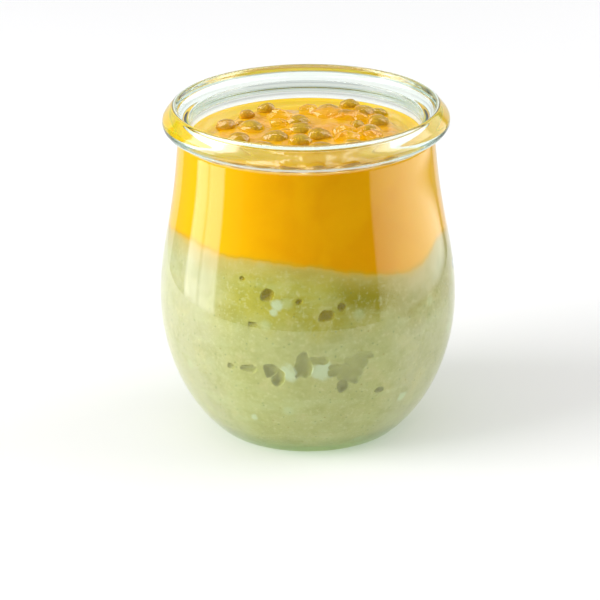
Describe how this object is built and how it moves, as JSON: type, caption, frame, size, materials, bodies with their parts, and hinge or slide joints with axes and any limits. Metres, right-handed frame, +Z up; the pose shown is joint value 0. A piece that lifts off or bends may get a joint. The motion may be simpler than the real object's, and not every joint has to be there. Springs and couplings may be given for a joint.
{
  "type": "layered coconut matcha pudding in an open glass jar",
  "caption": "Clear tulip-shaped glass jar filled with green tea coconut pudding, an orange fruit puree layer and passion fruit pulp with seeds.",
  "frame": {"origin": "centre of the jar's foot, on the surface it stands on", "axes": "+Z up the jar's axis, -Y towards the viewer of the picture, +X to that viewer's right"},
  "size_m": [0.0706, 0.0706, 0.08],
  "materials": {
    "jar_glass": "clear smooth glass with a faint green tint where it is thick",
    "matcha_pudding": null,
    "fruit_puree": null,
    "passion_fruit_topping": null
  },
  "bodies": {
    "root": {"jar": "jar_glass", "matcha_pudding": "matcha_pudding", "fruit_puree": "fruit_puree", "passion_fruit_topping": "passion_fruit_topping"}
  },
  "joints": []
}
